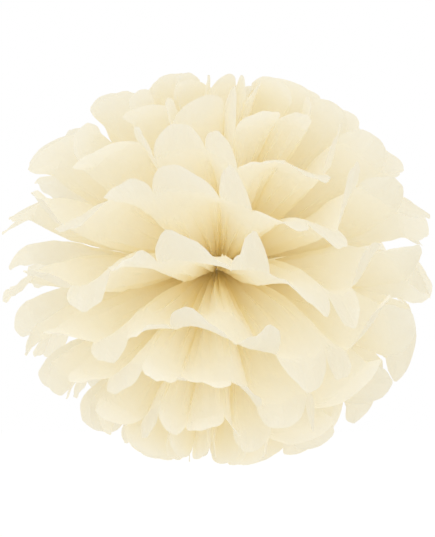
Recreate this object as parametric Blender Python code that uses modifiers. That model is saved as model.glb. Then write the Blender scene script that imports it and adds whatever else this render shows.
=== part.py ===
# Tissue paper pom pom, modelled the way it is made.
# A stack of tissue sheets is folded together into one accordion of pleats, tied round its
# middle with wire, and cut round at both ends. The two ends of each sheet are then opened
# into half-round fans, one to the front and one to the back, and each sheet is drawn up or
# down by its own angle, so that the fans together fill a ball.
# Metres, +Z up. The origin is the middle of the tie. The pleats run through it along Y.

import math
import random

import bpy
from mathutils import Vector

# The stack of sheets
SHEET_COUNT = 9
PLEAT_COUNT = 12
SHEET_LENGTH = 0.350  # along the pleats, and so the diameter of the ball
PLEAT_WIDTH = 0.042
PAPER_THICKNESS = 0.0004
PAPER_GAP = 0.00035  # between two sheets inside the tie

# The gathered middle, which the wire holds
NECK_WIDTH = 0.014
OPENED_REACH = 0.030  # distance from the tie at which the fans are fully open

# How the sheets are opened into a ball
TOP_ELEVATION = math.radians(72)  # of the highest sheet above the waist
SEAM_ANGLE = math.radians(8)  # left open between the front fans and the back fans
DEEPEST_PLEAT = math.radians(14)  # between a ridge and a valley, seen from the tie
POLE_FLATTENING = 0.10  # how much shorter the petals at the top and bottom reach

# How far the hand that fluffed the petals moved them
CHANCE = 42  # another number gives another ball of the same kind
SHARED_SHIFT = 0.24  # of a pleat's pitch, the same in every sheet
SHARED_LIFT = math.radians(4)  # the same in every sheet, and least near the poles
SHARED_ROLL = math.radians(11)  # of a petal's round end, the same in every sheet
DROOP = math.radians(3)  # of the tips, under their own weight
OWN_SHIFT = 0.08  # of a pleat's pitch, different in each sheet
SPARE_SHARE = 0.12  # of the angle between sheets, which no petal enters
CUP_SHARE = 0.25  # of a petal's room, for the hollow across it
WANDER = 0.09  # how far whole layers drift from level, as a share of the reach
SHORTEST_LOBE = 0.80  # of the full lobe, where a petal's end was trimmed or curled in

# The tie
WIRE_DIAMETER = 0.0009
WIRE_GAP = 0.0004
WIRE_CORNER = 0.0011
TWIST_TURNS = 2
TWIST_PITCH = 0.0040

# Smoothness of the model
LOBE_STEPS = 6
HELIX_STEPS = 7
CORNER_STEPS = 3

RADIUS = SHEET_LENGTH / 2
LOBE_DEPTH = PLEAT_WIDTH / 2
NOTCH_REACH = RADIUS - LOBE_DEPTH
SHEET_PITCH = PAPER_THICKNESS + PAPER_GAP
SPACING = 2 * TOP_ELEVATION / (SHEET_COUNT - 1)
PLEAT_ANGLE = (math.pi - SEAM_ANGLE) / PLEAT_COUNT
# Rows of points along a pleat, as shares of the way from the opened fan to the notch
ROW_SHARES = (0.0, 0.34, 0.70, 1.0)
FIRST_FINE_ROW = 3  # from here on a pleat also has a line of points along its middle
FRONT, BACK = -1, 1


def ease(low, high, value):
    """0 below low, 1 above high, and smooth between them."""
    t = min(max((value - low) / (high - low), 0.0), 1.0)
    return t * t * (3 - 2 * t)


def chance(*key):
    """A fixed number from -1 to 1 that belongs to this key."""
    return random.Random(repr((CHANCE, *key))).uniform(-1.0, 1.0)


def sheet_elevation(sheet):
    return SPACING * (sheet - (SHEET_COUNT - 1) / 2)


def pleat_depth(sheet, reach):
    """Angle between the ridge and the valley of a pleat. The paper doesn't stretch, so a
    pleat that is wider than its pitch has to stand up, as far as the tie lets it."""
    wide = PLEAT_WIDTH / reach
    pitch = PLEAT_ANGLE * math.cos(sheet_elevation(sheet))
    deep = math.sqrt(max(wide * wide - pitch * pitch, 0.0))
    return min(deep, DEEPEST_PLEAT * ease(0, 0.5 * RADIUS, reach))


def petal_room(sheet, reach):
    """Angle by which a petal may leave its layer without reaching the next one."""
    free = ease(OPENED_REACH, RADIUS, reach)
    steepest = pleat_depth(sheet, reach) + 2 * SHARED_LIFT * free
    taken = 2 * OWN_SHIFT * free * steepest
    return max((1 - SPARE_SHARE) * SPACING - taken, 0.0) / 2


def fold_line(half, sheet, fold, reach):
    """Azimuth and elevation of a fold, at this distance from the tie."""
    free = ease(OPENED_REACH, RADIUS, reach)
    level = sheet_elevation(sheet)
    shift = 0.0
    if 0 < fold < PLEAT_COUNT:
        shift += SHARED_SHIFT * chance("shared shift", half, fold)
        shift += OWN_SHIFT * free * chance("own shift", half, sheet, fold)
    azimuth = PLEAT_ANGLE * (fold - PLEAT_COUNT / 2 + shift)

    side = 1 if fold % 2 == 0 else -1
    elevation = level + side * pleat_depth(sheet, reach) / 2
    elevation += SHARED_LIFT * free * math.cos(level) * chance("shared lift", half, fold)
    lift = ease(OPENED_REACH, 0.6 * RADIUS, reach) * chance("lift", half, sheet, fold)
    curl = max(2 * reach / RADIUS - 1, 0.0) ** 2 * chance("curl", half, sheet, fold)
    room = (1 - CUP_SHARE) * petal_room(sheet, reach)
    return azimuth, elevation + room * (0.55 * lift + 0.45 * curl)


def drift(d):
    """How a direction wanders, so that the layers aren't level rings."""
    return Vector(
        (
            math.sin(4.1 * d.y + 1.7 * d.z + 0.6),
            math.sin(3.7 * d.z + 2.3 * d.x + 2.1),
            math.sin(4.3 * d.x + 1.9 * d.y + 4.4),
        )
    )


def paper_point(half, sheet, across, reach):
    """A point of a sheet. across counts pleats, and a whole number is a fold."""
    pleat = min(int(across), PLEAT_COUNT - 1)
    share = across - pleat
    near = fold_line(half, sheet, pleat, reach)
    far = fold_line(half, sheet, pleat + 1, reach)
    azimuth = near[0] + (far[0] - near[0]) * share
    elevation = near[1] + (far[1] - near[1]) * share
    free = ease(OPENED_REACH, RADIUS, reach)
    hollow = CUP_SHARE * petal_room(sheet, reach) * chance("cup", half, sheet, pleat)
    elevation += 4 * share * (1 - share) * hollow * free

    beyond = max(reach - NOTCH_REACH, 0.0) / LOBE_DEPTH
    roll = SHARED_ROLL * beyond * chance("roll", half, pleat)
    droop = DROOP * (reach / RADIUS) ** 2
    elevation += math.cos(sheet_elevation(sheet)) * (roll - droop)

    level = math.cos(elevation)
    direction = Vector(
        (
            math.sin(azimuth) * level,
            half * math.cos(azimuth) * level,
            math.sin(elevation),
        )
    )
    direction += WANDER * free * drift(direction)
    direction.normalize()
    return reach * (1 - POLE_FLATTENING * free * math.sin(elevation) ** 2) * direction


def neck_point(half, sheet, across):
    """A point where a sheet leaves the flat stack inside the tie. The steeper it's drawn,
    the nearer to the wire it turns away."""
    height = SHEET_PITCH * (sheet - (SHEET_COUNT - 1) / 2)
    away = SHEET_PITCH / SPACING * math.cos(sheet_elevation(sheet))
    return Vector((NECK_WIDTH * (across / PLEAT_COUNT - 0.5), half * away, height))


def lobe_end(half, sheet, pleat, step):
    """Place across the pleat and reach of a point on its rounded end."""
    turn = math.pi * step / LOBE_STEPS
    trim = (1 + chance("trim", half, sheet, pleat)) / 2 * (1 - SHORTEST_LOBE)
    share = (1 - math.cos(turn)) / 2
    return pleat + share, NOTCH_REACH + LOBE_DEPTH * (1 - trim) * math.sin(turn)


class Paper:
    """Points and faces of one sheet, as an open surface."""

    def __init__(self, sheet):
        self.sheet = sheet
        self.points = []
        self.faces = []
        self.index = {}

    def at(self, half, across, reach):
        key = (half, round(across, 6), round(reach, 6))
        if key not in self.index:
            self.index[key] = len(self.points)
            if reach == 0:
                point = neck_point(half, self.sheet, across)
            else:
                point = paper_point(half, self.sheet, across, reach)
            self.points.append(point)
        return self.index[key]

    def face(self, half, *corners):
        """Adds a face, turned the same way up in both halves."""
        self.faces.append(corners if half == FRONT else corners[::-1])


def add_strip(paper, half, pleat, rows, row):
    """The part of a pleat between two rows. The outer rows have a point in its middle."""
    low, high = rows[row], rows[row + 1]
    left, right = pleat, pleat + 1
    low_left, low_right = paper.at(half, left, low), paper.at(half, right, low)
    high_left, high_right = paper.at(half, left, high), paper.at(half, right, high)
    if row < FIRST_FINE_ROW - 1:
        paper.face(half, low_left, high_left, high_right, low_right)
        return
    high_middle = paper.at(half, pleat + 0.5, high)
    if row == FIRST_FINE_ROW - 1:
        paper.face(half, low_left, high_left, high_middle)
        paper.face(half, low_left, high_middle, low_right)
        paper.face(half, low_right, high_middle, high_right)
        return
    low_middle = paper.at(half, pleat + 0.5, low)
    paper.face(half, low_left, high_left, high_middle, low_middle)
    paper.face(half, low_middle, high_middle, high_right, low_right)


def add_lobe(paper, half, pleat):
    """The rounded end of a pleat, as a fan of triangles from the middle of the notch row."""
    centre = paper.at(half, pleat + 0.5, NOTCH_REACH)
    rim = [paper.at(half, pleat, NOTCH_REACH)]
    for step in range(1, LOBE_STEPS):
        rim.append(paper.at(half, *lobe_end(half, paper.sheet, pleat, step)))
    rim.append(paper.at(half, pleat + 1, NOTCH_REACH))
    for first, second in zip(rim, rim[1:]):
        paper.face(half, centre, first, second)


def sheet_surface(sheet):
    paper = Paper(sheet)
    rows = [0] + [OPENED_REACH + (NOTCH_REACH - OPENED_REACH) * s for s in ROW_SHARES]
    for pleat in range(PLEAT_COUNT):
        front = [paper.at(FRONT, x, 0) for x in (pleat, pleat + 1)]
        back = [paper.at(BACK, x, 0) for x in (pleat + 1, pleat)]
        paper.faces.append(front + back)
        for half in (FRONT, BACK):
            for row in range(len(rows) - 1):
                add_strip(paper, half, pleat, rows, row)
            add_lobe(paper, half, pleat)
    return paper


def new_material(name, colour, roughness, metallic):
    material = bpy.data.materials.new(name)
    material.use_nodes = True
    shader = material.node_tree.nodes["Principled BSDF"]
    shader.inputs["Base Color"].default_value = (*colour, 1.0)
    shader.inputs["Roughness"].default_value = roughness
    shader.inputs["Metallic"].default_value = metallic
    return material


def add_sheet(sheet, collection, material):
    paper = sheet_surface(sheet)
    name = f"tissue_sheet_{sheet + 1:02d}"
    mesh = bpy.data.meshes.new(name)
    mesh.from_pydata(paper.points, [], paper.faces)
    mesh.validate()
    mesh.materials.append(material)
    obj = bpy.data.objects.new(name, mesh)
    collection.objects.link(obj)
    # Both skins of the paper then have the same flat triangles
    obj.modifiers.new("facets", "TRIANGULATE")
    shell = obj.modifiers.new("paper", "SOLIDIFY")
    shell.thickness = PAPER_THICKNESS
    shell.offset = 0.0
    shell.use_quality_normals = True
    return obj


def wire_path():
    """Centre line of the wire: down one strand of the twist, once round the bundle, and up
    the other strand."""
    thick = WIRE_DIAMETER / 2
    half_wide = NECK_WIDTH / 2 + WIRE_GAP + thick
    half_high = (SHEET_PITCH * (SHEET_COUNT - 1) + PAPER_THICKNESS) / 2 + WIRE_GAP + thick
    strand = (WIRE_DIAMETER + WIRE_GAP) / 2
    foot = half_high + WIRE_CORNER

    def helix(side):
        steps = TWIST_TURNS * HELIX_STEPS
        for step in range(steps + 1):
            turn = 2 * math.pi * step / HELIX_STEPS
            yield Vector(
                (
                    side * strand * math.cos(turn),
                    side * strand * math.sin(turn),
                    foot + TWIST_PITCH * step / HELIX_STEPS,
                )
            )

    def corner(x, z, start):
        for step in range(CORNER_STEPS + 1):
            turn = start + math.pi / 2 * step / CORNER_STEPS
            yield Vector(
                (
                    x + WIRE_CORNER * math.cos(turn),
                    0.0,
                    z + WIRE_CORNER * math.sin(turn),
                )
            )

    inner_x, inner_z = half_wide - WIRE_CORNER, half_high - WIRE_CORNER
    entry = strand + WIRE_CORNER
    points = list(helix(-1))[::-1]
    points += list(corner(-entry, foot, -math.pi / 2))[::-1][1:]
    points += corner(-inner_x, inner_z, math.pi / 2)
    points += corner(-inner_x, -inner_z, math.pi)
    points += corner(inner_x, -inner_z, 1.5 * math.pi)
    points += corner(inner_x, inner_z, 0.0)
    points += list(corner(entry, foot, math.pi))[::-1][:-1]
    points += helix(1)
    return points


def add_tie_wire(collection, material):
    curve = bpy.data.curves.new("tie_wire", "CURVE")
    curve.dimensions = "3D"
    curve.bevel_depth = WIRE_DIAMETER / 2
    curve.bevel_resolution = 1
    curve.use_fill_caps = True
    spline = curve.splines.new("POLY")
    points = wire_path()
    spline.points.add(len(points) - 1)
    for place, point in zip(spline.points, points):
        place.co = (*point, 1.0)
    curve.materials.append(material)
    obj = bpy.data.objects.new("tie_wire", curve)
    collection.objects.link(obj)
    return obj


def main():
    for obj in list(bpy.data.objects):
        bpy.data.objects.remove(obj)
    collection = bpy.data.collections.new("tissue_pom_pom")
    bpy.context.scene.collection.children.link(collection)
    tissue = new_material("cream_tissue", (0.86, 0.78, 0.58), 0.85, 0.0)
    wire = new_material("covered_wire", (0.80, 0.77, 0.66), 0.6, 0.0)
    for sheet in range(SHEET_COUNT):
        add_sheet(sheet, collection, tissue)
    add_tie_wire(collection, wire)


main()
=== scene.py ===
# Tissue paper pom pom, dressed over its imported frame.
# Each folded sheet of the frame is made again here as one fine open surface, from the same
# folds, with its gathers, crumples and ruffled edge.
# Metres, +Z up, the tie at the origin, the front towards -Y.

import math
import random

import bpy
import numpy as np
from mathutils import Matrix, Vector


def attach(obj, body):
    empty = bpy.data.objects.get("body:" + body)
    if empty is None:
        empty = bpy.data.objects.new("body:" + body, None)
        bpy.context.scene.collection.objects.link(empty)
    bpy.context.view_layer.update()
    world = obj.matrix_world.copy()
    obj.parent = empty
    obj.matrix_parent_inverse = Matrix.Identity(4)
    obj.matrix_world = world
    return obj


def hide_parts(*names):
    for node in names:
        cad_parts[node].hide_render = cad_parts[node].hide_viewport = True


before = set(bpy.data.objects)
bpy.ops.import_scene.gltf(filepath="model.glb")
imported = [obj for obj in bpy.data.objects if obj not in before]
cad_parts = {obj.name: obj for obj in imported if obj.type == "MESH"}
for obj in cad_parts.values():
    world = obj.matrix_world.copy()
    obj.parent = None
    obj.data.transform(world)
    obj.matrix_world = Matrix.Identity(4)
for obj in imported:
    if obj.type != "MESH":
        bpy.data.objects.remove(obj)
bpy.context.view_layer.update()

print("frame loaded:", ", ".join(sorted(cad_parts)))

front, back = -1, 1  # the sign of Y on each half of a sheet


# the folded sheets: the folds are the frame's own
pom = {
    "chance": 42,  # starts every random draw
    "sheets": 9,
    "pleats": 12,  # in a sheet, each with a petal in front and one behind
    "sheetLength": 0.350,  # along the pleats
    "pleatWidth": 0.042,
    "layerPitch": 0.00075,  # between two sheets inside the tie
    "neckWidth": 0.014,  # of the flat stack inside the tie
    "openedReach": 0.030,  # from the tie to where the folds have opened into a fan
    "topElevation": math.radians(72),  # of the highest sheet above the waist
    "seamAngle": math.radians(8),  # left between the front fan and the back fan
    "deepestPleat": math.radians(14),  # from ridge to valley
    "deepBy": 0.5,  # share of the radius where the pleats are that deep
    "poleFlattening": 0.10,
    "sharedShift": 0.24,  # of a pleat, sideways, alike in all sheets
    "sharedLift": math.radians(4),
    "sharedRoll": math.radians(11),  # of the petals' ends
    "droop": math.radians(3),  # of the waist's petals at the rim
    "ownShift": 0.08,  # of a pleat, sideways, each sheet's own
    "spareShare": 0.12,  # of the room between two sheets that stays free
    "cupShare": 0.25,  # of a petal's room that its hollow may take
    "liftShare": 0.55,  # of a fold's room that lifts it, and the rest curls its end
    "liftedBy": 0.6,  # share of the radius where a fold has its whole lift
    "wander": 0.09,  # how far the drift bends the layers
    "driftWaves": ((4.1, 1.7, 0.6), (3.7, 2.3, 2.1), (4.3, 1.9, 4.4)),  # two pitches, a start
    "shortestLobe": 0.80,  # of a whole lobe's depth
}

# what only shows close up
finish = {
    "gathers": 4,  # small folds across a pleat, crushed in by the tie
    "stepsAcross": 16,  # mesh steps across a petal, four to a gather
    "stepsAlong": 46,
    "neckSteps": 4,  # mesh steps inside the tie
    "gatherShare": 0.62,  # of the slack paper that the gathers take up
    "steepestGather": 0.16,  # height of a gather over its distance from the tie
    "roundedFold": 0.55,  # how far a fold has sprung open towards the rim, 1 is fully round
    "crumpleHeight": 0.0010,
    "crumpleSizes": (0.034, 0.021, 0.014),  # wavelengths in metres
    "crumpleWaves": 5,  # of each size
    "crumpleTotal": 2.2,  # what the waves of one size add up to
    "crumpleBend": 0.35,  # of a wavelength, by which a crease wanders
    "bendPitch": (1.7, 1.1, 6),  # across, along, and by the wave's start
    "crumpleReach": (0.02, 0.09),  # from the tie, where crumples start and are whole
    "ruffleHeight": 0.0012,  # of the cut edge
    "ruffleSize": 0.016,
    "ruffleFrom": 0.86,  # share of the radius
    "ruffleStep": 2.3,  # by which each sheet's ruffle is out of step with the last
    "partingShare": 0.04,  # by which slack paper near the tie spreads a fan, to close the parting
    "closedTo": 0.5,  # share of the radius where that starts to fade
    "partingTurn": math.radians(3),  # to and fro, of the line where a sheet's two fans part
    "partingWaves": 4.0,
    "partingStart": 0.8,
    "partingReach": (0.3, 0.4, 0.8),  # shares of the radius: whole, starts to fade, gone
}

radius = pom["sheetLength"] / 2
lobeDepth = pom["pleatWidth"] / 2
notchReach = radius - lobeDepth
spacing = 2 * pom["topElevation"] / (pom["sheets"] - 1)
pleatAngle = (math.pi - pom["seamAngle"]) / pom["pleats"]


def ease(low, high, value):
    share = np.clip((value - low) / (high - low), 0.0, 1.0)
    return share * share * (3 - 2 * share)


def chance(*key):
    return random.Random(repr((pom["chance"], *key))).uniform(-1.0, 1.0)


def chances(count, *key):
    return np.array([chance(*key, i) for i in range(count)])


def sheetElevation(sheet):
    return spacing * (sheet - (pom["sheets"] - 1) / 2)


def pleatDepth(sheet, reach):
    # no deeper than the paper's width can fold to
    wide = pom["pleatWidth"] / reach
    pitch = pleatAngle * math.cos(sheetElevation(sheet))
    deep = np.sqrt(np.maximum(wide * wide - pitch * pitch, 0.0))
    return np.minimum(deep, pom["deepestPleat"] * ease(0, pom["deepBy"] * radius, reach))


def petalRoom(sheet, reach):
    # how far a fold may rise or fall before it could meet the next sheet
    free = ease(pom["openedReach"], radius, reach)
    steepest = pleatDepth(sheet, reach) + 2 * pom["sharedLift"] * free
    taken = 2 * pom["ownShift"] * free * steepest
    return np.maximum((1 - pom["spareShare"]) * spacing - taken, 0.0) / 2


def foldLine(half, sheet, fold, reach):
    # azimuth and elevation of the folds, one for each column of reach
    count = pom["pleats"] + 1
    free = ease(pom["openedReach"], radius, reach)
    level = sheetElevation(sheet)
    sharedShift = pom["sharedShift"] * chances(count, "shared shift", half)
    ownShift = pom["ownShift"] * chances(count, "own shift", half, sheet)
    sharedShift[[0, -1]] = 0
    ownShift[[0, -1]] = 0
    shift = sharedShift[fold] + ownShift[fold] * free
    fading = ease(finish["closedTo"] * radius, radius, reach)
    spread = 1 + finish["partingShare"] * (1 - fading)
    azimuth = pleatAngle * (fold - pom["pleats"] / 2 + shift) * spread

    side = np.where(fold % 2 == 0, 1, -1)
    elevation = level + side * pleatDepth(sheet, reach) / 2
    sharedLift = chances(count, "shared lift", half)[fold]
    elevation = elevation + pom["sharedLift"] * free * math.cos(level) * sharedLift
    risen = ease(pom["openedReach"], pom["liftedBy"] * radius, reach)
    lift = risen * chances(count, "lift", half, sheet)[fold]
    outer = np.maximum(2 * reach / radius - 1, 0.0) ** 2  # 0 as far as half way out
    curl = outer * chances(count, "curl", half, sheet)[fold]
    room = (1 - pom["cupShare"]) * petalRoom(sheet, reach)
    own = pom["liftShare"] * lift + (1 - pom["liftShare"]) * curl
    return azimuth, elevation + room * own


def drift(toward):
    # a slow swell of the whole ball: each axis moves by the places on the other two
    waves = [
        np.sin(first * toward[..., (axis + 1) % 3] + second * toward[..., (axis + 2) % 3] + start)
        for axis, (first, second, start) in enumerate(pom["driftWaves"])
    ]
    return np.stack(waves, axis=-1)


def turnParting(toward, reach):
    # the front and back fans part along a wandering line, not a straight slit
    x, y, z = toward[..., 0], toward[..., 1], toward[..., 2]
    wave = np.sin(finish["partingWaves"] * np.arcsin(z) + finish["partingStart"])
    atSide = (x * x / (x * x + y * y)) ** 4  # 1 at the left and right, 0 in front and behind
    whole, fades, gone = [share * radius for share in finish["partingReach"]]
    grown = ease(pom["openedReach"], whole, reach) * (1 - ease(fades, gone, reach))
    turn = finish["partingTurn"] * wave * atSide * grown
    turnedX = x * np.cos(turn) - y * np.sin(turn)
    turnedY = x * np.sin(turn) + y * np.cos(turn)
    return np.stack([turnedX, turnedY, z], axis=-1)


def crumple(half, sheet, across, reach):
    # creased facets, from triangle waves that cross the paper in every direction
    draw = random.Random(repr(("crumple", half, sheet)))
    side, out = across * pom["pleatWidth"], reach
    sidePitch, outPitch, startPitch = finish["bendPitch"]
    largest = finish["crumpleSizes"][0]
    height = np.zeros_like(reach)
    for size in finish["crumpleSizes"]:
        for _ in range(finish["crumpleWaves"]):
            turn, start = draw.uniform(0, math.pi), draw.uniform(0, 1)
            bend = np.sin(side / size * sidePitch + out / size * outPitch + startPitch * start)
            straight = (side * math.cos(turn) + out * math.sin(turn)) / size
            wave = straight + finish["crumpleBend"] * bend + start
            height += (np.abs(2 * (wave % 1) - 1) - 0.5) * size / largest
    height = height / finish["crumpleTotal"]
    return finish["crumpleHeight"] * height * ease(*finish["crumpleReach"], reach)


def gather(sheet, reach, share):
    # the paper that the pleat leaves slack stands in small folds, deepest near the tie
    turn = np.arccos(np.clip(1 - 2 * share, -1, 1)) / math.pi
    fold = 2 * np.abs(2 * ((turn * finish["gathers"] + 0.25) % 1) - 1) - 1  # 0 at both folds
    pitch = pleatAngle * math.cos(sheetElevation(sheet))
    pleatLength = reach * np.sqrt(pitch**2 + pleatDepth(sheet, reach) ** 2)
    slack = np.sqrt(np.maximum(pom["pleatWidth"] ** 2 - pleatLength**2, 0.0))
    high = finish["gatherShare"] * slack / finish["gathers"] / 2
    return fold * np.minimum(high, finish["steepestGather"] * reach / 2)


def paperPoint(half, sheet, across, reach, share, pleat):
    free = ease(pom["openedReach"], radius, reach)
    near = foldLine(half, sheet, pleat, reach)
    far = foldLine(half, sheet, pleat + 1, reach)
    wave = 0.5 - 0.5 * np.cos(math.pi * share)
    rounded = share + finish["roundedFold"] * free * (wave - share)
    azimuth = near[0] + (far[0] - near[0]) * share
    elevation = near[1] + (far[1] - near[1]) * rounded
    cups = chances(pom["pleats"], "cup", half, sheet)[pleat]
    hollow = pom["cupShare"] * petalRoom(sheet, reach) * cups
    elevation = elevation + 4 * share * (1 - share) * hollow * free

    beyond = np.maximum(reach - notchReach, 0.0) / lobeDepth
    roll = pom["sharedRoll"] * beyond * chances(pom["pleats"], "roll", half)[pleat]
    droop = pom["droop"] * (reach / radius) ** 2
    elevation = elevation + math.cos(sheetElevation(sheet)) * (roll - droop)

    edge = ease(finish["ruffleFrom"], 1.0, reach / radius)
    turn = 2 * math.pi * across * pom["pleatWidth"] / finish["ruffleSize"]
    ruffle = finish["ruffleHeight"] * edge * np.sin(turn + finish["ruffleStep"] * sheet)
    lift = crumple(half, sheet, across, reach) + ruffle + gather(sheet, reach, share)
    elevation = elevation + lift / reach

    level = np.cos(elevation)
    x, y, z = np.sin(azimuth) * level, half * np.cos(azimuth) * level, np.sin(elevation)
    toward = np.stack([x, y, z], axis=-1)
    toward = toward + pom["wander"] * free[..., None] * drift(toward)
    toward /= np.linalg.norm(toward, axis=-1, keepdims=True)
    toward = turnParting(toward, reach)
    drop = 1 - pom["poleFlattening"] * free * np.sin(elevation) ** 2
    return (reach * drop)[..., None] * toward


def neckPoint(half, sheet, across):
    # where the sheet leaves the flat stack inside the tie
    height = pom["layerPitch"] * (sheet - (pom["sheets"] - 1) / 2)
    away = pom["layerPitch"] / spacing * math.cos(sheetElevation(sheet))
    x = pom["neckWidth"] * (across / pom["pleats"] - 0.5)
    return np.stack([x, np.full_like(x, half * away), np.full_like(x, height)], axis=-1)


def halfGrid(half, sheet):
    # rows of points from the neck out to the cut edge, the same number in every column
    steps = finish["stepsAcross"]
    turn = np.linspace(0, math.pi, steps + 1)
    shareOne = (1 - np.cos(turn)) / 2
    pleat = np.repeat(np.arange(pom["pleats"]), steps)
    share = np.tile(shareOne[:-1], pom["pleats"])
    pleat = np.append(pleat, pom["pleats"] - 1)
    share = np.append(share, 1.0)
    across = pleat + share
    trims = (1 + chances(pom["pleats"], "trim", half, sheet)) / 2 * (1 - pom["shortestLobe"])
    limit = notchReach + lobeDepth * (1 - trims[pleat]) * 2 * np.sqrt(share * (1 - share))

    along = np.linspace(0, 1, finish["stepsAlong"] + 1)[:, None]
    reach = pom["openedReach"] + (limit[None, :] - pom["openedReach"]) * along
    shape = reach.shape
    opened = paperPoint(
        half,
        sheet,
        np.broadcast_to(across, shape),
        reach,
        np.broadcast_to(share, shape),
        np.broadcast_to(pleat, shape),
    )
    neck = neckPoint(half, sheet, across)[None]
    opening = (np.arange(finish["neckSteps"]) / finish["neckSteps"])[:, None, None]
    return np.concatenate([neck + (opened[:1] - neck) * opening, opened])


def gridFaces(rows, columns, offset, flip):
    faces = []
    for row in range(rows - 1):
        for column in range(columns - 1):
            first = offset + row * columns + column
            quad = (first, first + columns, first + columns + 1, first + 1)
            faces.append(quad[::-1] if flip else quad)
    return faces


def flatArea():
    # the mean flat area of a sheet: whole pleats as far as the notches, then half ellipses
    straight = 2 * notchReach * pom["pleats"] * pom["pleatWidth"]
    lobes = 0.0
    for half in (front, back):
        for sheet in range(pom["sheets"]):
            trims = (1 + chances(pom["pleats"], "trim", half, sheet)) / 2
            deep = lobeDepth * (1 - trims * (1 - pom["shortestLobe"]))
            lobes += float(np.sum(math.pi / 4 * pom["pleatWidth"] * deep))
    return straight + lobes / pom["sheets"]


def makeSheet(sheet, material):
    grids = [halfGrid(half, sheet) for half in (front, back)]
    rows, columns = grids[0].shape[:2]
    second = rows * columns  # where the back half's points start
    points = np.concatenate([grid.reshape(-1, 3) for grid in grids])
    faces = gridFaces(rows, columns, 0, False)
    faces += gridFaces(rows, columns, second, True)
    for column in range(columns - 1):  # the flat strip under the wire
        faces.append((column, column + 1, second + column + 1, second + column))
    name = f"tissue_{sheet + 1:02d}"
    mesh = bpy.data.meshes.new(name)
    mesh.from_pydata(points.tolist(), [], faces)  # flat faces, as creased paper has
    mesh.validate()
    mesh.materials.append(material)
    piece = bpy.data.objects.new(name, mesh)
    bpy.context.scene.collection.objects.link(piece)
    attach(piece, "root")
    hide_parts(f"tissue_sheet_{sheet + 1:02d}")
    flatArea()


# materials
def srgb(hexColour):
    channels = [int(hexColour[i : i + 2], 16) / 255 for i in (1, 3, 5)]
    linear = [c / 12.92 if c <= 0.04045 else ((c + 0.055) / 1.055) ** 2.4 for c in channels]
    return (*linear, 1.0)


def addNode(tree, kind, settings=None, links=None):
    # a key names a socket, or numbers one, or else names a setting of the node itself
    node = tree.nodes.new(kind)
    for key, value in (settings or {}).items():
        if isinstance(key, int) or key in node.inputs:
            node.inputs[key].default_value = value
        else:
            setattr(node, key, value)
    for key, source in (links or {}).items():
        tree.links.new(source, node.inputs[key])
    return node


def newMaterial(name):
    material = bpy.data.materials.new(name)
    material.use_nodes = True
    material.node_tree.nodes.clear()
    return material


tissue = {
    "litSide": "#FEFCF3",
    "fibreShade": "#FDFAED",
    "toneRange": (0.12, 0.38),  # of the clouds times the fibres, from shade to lit
    "glow": "#FEFBEF",  # light that comes through the sheet
    "glowShare": 0.50,
    "roughness": 0.82,
    "ior": 1.47,  # cellulose
    "specular": 0.2,
    "fibreSize": 0.0016,
    "cloudSize": 0.022,
    "wrinkleSize": 0.0045,
    "wrinkleHeight": 0.0006,
    "wrinkleStrength": 0.25,
}


def tissueMaterial():
    # machine-glazed tissue: matt, slightly cloudy, and thin enough for light to glow through
    material = newMaterial("creamTissuePaper")
    tree = material.node_tree
    place = addNode(tree, "ShaderNodeTexCoord").outputs["Object"]
    cloud = addNode(
        tree,
        "ShaderNodeTexNoise",
        {"Scale": 1 / tissue["cloudSize"], "Detail": 3.0, "Roughness": 0.5},
        {"Vector": place},
    )
    fibre = addNode(
        tree,
        "ShaderNodeTexNoise",
        {"Scale": 1 / tissue["fibreSize"], "Detail": 2.0, "Roughness": 0.6, "Distortion": 1.2},
        {"Vector": place},
    )
    mixed = addNode(
        tree,
        "ShaderNodeMath",
        {"operation": "MULTIPLY"},
        {0: cloud.outputs["Fac"], 1: fibre.outputs["Fac"]},
    )
    tone = addNode(
        tree,
        "ShaderNodeMapRange",
        {"From Min": tissue["toneRange"][0], "From Max": tissue["toneRange"][1]},
        {"Value": mixed.outputs["Value"]},
    )
    colour = addNode(
        tree,
        "ShaderNodeMix",
        {"data_type": "RGBA", 6: srgb(tissue["fibreShade"]), 7: srgb(tissue["litSide"])},
        {"Factor": tone.outputs["Result"]},
    )
    wrinkle = addNode(
        tree,
        "ShaderNodeTexNoise",
        {"Scale": 1 / tissue["wrinkleSize"], "Detail": 3.0, "Roughness": 0.55, "Distortion": 0.8},
        {"Vector": place},
    )
    bump = addNode(
        tree,
        "ShaderNodeBump",
        {"Strength": tissue["wrinkleStrength"], "Distance": tissue["wrinkleHeight"]},
        {"Height": wrinkle.outputs["Fac"]},
    )
    surface = addNode(
        tree,
        "ShaderNodeBsdfPrincipled",
        {
            "Roughness": tissue["roughness"],
            "IOR": tissue["ior"],
            "Specular IOR Level": tissue["specular"],
        },
        {"Base Color": colour.outputs[2], "Normal": bump.outputs["Normal"]},
    )
    through = addNode(
        tree,
        "ShaderNodeBsdfTranslucent",
        {"Color": srgb(tissue["glow"])},
        {"Normal": bump.outputs["Normal"]},
    )
    both = addNode(
        tree,
        "ShaderNodeMixShader",
        {0: tissue["glowShare"]},
        {1: surface.outputs["BSDF"], 2: through.outputs["BSDF"]},
    )
    addNode(tree, "ShaderNodeOutputMaterial", links={"Surface": both.outputs["Shader"]})
    return material


wire = {
    "paper": "#E9E0C4",
    "shade": "#CFC39C",  # at the edges of the wrap
    "wrapPitch": 0.0012,
    "wrapWaver": 1.5,
    "roughness": 0.75,
    "ior": 1.47,
}


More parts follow.
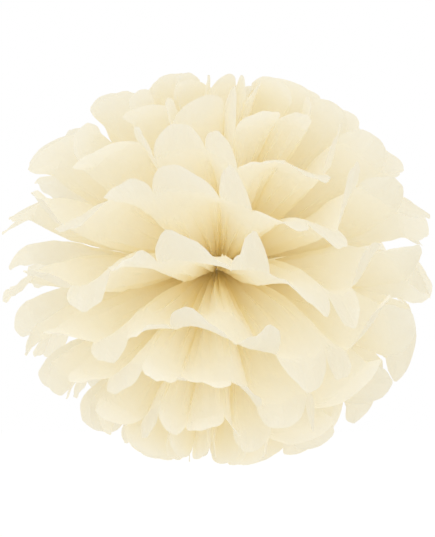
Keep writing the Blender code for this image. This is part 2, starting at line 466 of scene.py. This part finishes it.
def wireMaterial():
    # iron wire wrapped in a crepe paper strip: matt, with the wrap's edges as fine rings
    material = newMaterial("paperCoveredWire")
    tree = material.node_tree
    place = addNode(tree, "ShaderNodeTexCoord").outputs["Object"]
    wrap = addNode(
        tree,
        "ShaderNodeTexWave",
        {
            "Scale": math.pi / 10 / wire["wrapPitch"],
            "Distortion": wire["wrapWaver"],
            "bands_direction": "DIAGONAL",
        },
        {"Vector": place},
    )
    colour = addNode(
        tree,
        "ShaderNodeMix",
        {"data_type": "RGBA", 6: srgb(wire["shade"]), 7: srgb(wire["paper"])},
        {"Factor": wrap.outputs["Fac"]},
    )
    surface = addNode(
        tree,
        "ShaderNodeBsdfPrincipled",
        {"Roughness": wire["roughness"], "IOR": wire["ior"]},
        {"Base Color": colour.outputs[2]},
    )
    addNode(tree, "ShaderNodeOutputMaterial", links={"Surface": surface.outputs["BSDF"]})
    return material


# the stage
stage = {
    "floorBelow": 0.62,  # under the tie
    "floorHalf": 6.0,
    "floorColour": "#F4F3F0",
    "floorWhite": 0.28,  # what the floor lacks to reach white
    "white": (1.0, 1.0, 1.0, 1.0),
    "skyStrength": 0.83,
    "keyPower": 4.2,
    "keyPlace": (-0.9, -1.6, 1.6),
    "keySize": 1.4,
    "fillPower": 2.3,
    "fillPlace": (0.7, -2.0, -0.35),
    "fillSize": 1.0,
    "lightPasses": 48,  # light goes to and fro through many thin layers
}

camera = {"distance": 1.6, "height": 0.0, "lens": 135.5, "sensor": 36.0}


def seesBackground(tree):
    # 1 for the eye, and for what it sees by reflection or through something, otherwise 0
    path = addNode(tree, "ShaderNodeLightPath")
    seen = path.outputs["Is Camera Ray"]
    for rays in ("Is Glossy Ray", "Is Transmission Ray"):
        either = addNode(
            tree, "ShaderNodeMath", {"operation": "MAXIMUM"}, {0: seen, 1: path.outputs[rays]}
        )
        seen = either.outputs["Value"]
    return seen


def makeFloor():
    # pale floor that reads as white to the eye and still takes the ball's shadow
    material = newMaterial("paleFloor")
    tree = material.node_tree
    diffuse = addNode(tree, "ShaderNodeBsdfDiffuse", {"Color": srgb(stage["floorColour"])})
    white = addNode(
        tree, "ShaderNodeEmission", {"Color": stage["white"], "Strength": stage["floorWhite"]}
    )
    both = addNode(
        tree, "ShaderNodeAddShader", links={0: diffuse.outputs[0], 1: white.outputs[0]}
    )
    pick = addNode(
        tree,
        "ShaderNodeMixShader",
        links={0: seesBackground(tree), 1: diffuse.outputs[0], 2: both.outputs[0]},
    )
    addNode(tree, "ShaderNodeOutputMaterial", links={"Surface": pick.outputs[0]})
    mesh = bpy.data.meshes.new("floor")
    far, level = stage["floorHalf"], -stage["floorBelow"]
    corners = [(-far, -far, level), (far, -far, level), (far, far, level), (-far, far, level)]
    mesh.from_pydata(corners, [], [(0, 1, 2, 3)])
    mesh.materials.append(material)
    floor = bpy.data.objects.new("floor", mesh)
    bpy.context.scene.collection.objects.link(floor)


def makeWorld():
    world = bpy.data.worlds.new("softSky")
    bpy.context.scene.world = world
    world.use_nodes = True
    tree = world.node_tree
    tree.nodes.clear()
    sky = addNode(
        tree,
        "ShaderNodeBackground",
        {"Color": stage["white"], "Strength": stage["skyStrength"]},
    )
    white = addNode(tree, "ShaderNodeBackground", {"Color": stage["white"], "Strength": 1.0})
    pick = addNode(
        tree,
        "ShaderNodeMixShader",
        links={0: seesBackground(tree), 1: sky.outputs[0], 2: white.outputs[0]},
    )
    addNode(tree, "ShaderNodeOutputWorld", links={"Surface": pick.outputs[0]})


def addLamp(name):
    data = bpy.data.lights.new(name + "Lamp", "AREA")
    data.size = stage[name + "Size"]
    data.energy = stage[name + "Power"]
    lamp = bpy.data.objects.new(name + "Lamp", data)
    bpy.context.scene.collection.objects.link(lamp)
    lamp.location = stage[name + "Place"]
    lamp.rotation_euler = (-Vector(lamp.location)).to_track_quat("-Z", "Y").to_euler()


def makeCamera():
    data = bpy.data.cameras.new("photoCamera")
    data.sensor_fit = "VERTICAL"
    data.sensor_height = camera["sensor"]
    data.lens = camera["lens"]
    eye = bpy.data.objects.new("photoCamera", data)
    bpy.context.scene.collection.objects.link(eye)
    eye.location = (0, -camera["distance"], camera["height"])
    eye.rotation_euler = (-eye.location).to_track_quat("-Z", "Y").to_euler()
    bpy.context.scene.camera = eye


makeCamera()
makeWorld()
makeFloor()
addLamp("key")
addLamp("fill")
print("camera, lights and floor ready")

paper = tissueMaterial()
for sheet in range(pom["sheets"]):
    makeSheet(sheet, paper)
print("tissue sheets ready:", pom["sheets"])

covering = wireMaterial()
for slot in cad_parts["tie_wire"].material_slots:
    slot.material = covering
print("tie wire ready")

bpy.context.scene.view_settings.view_transform = "Standard"
light = bpy.context.scene.cycles
light.max_bounces = stage["lightPasses"]
light.diffuse_bounces = stage["lightPasses"]
light.transmission_bounces = stage["lightPasses"]
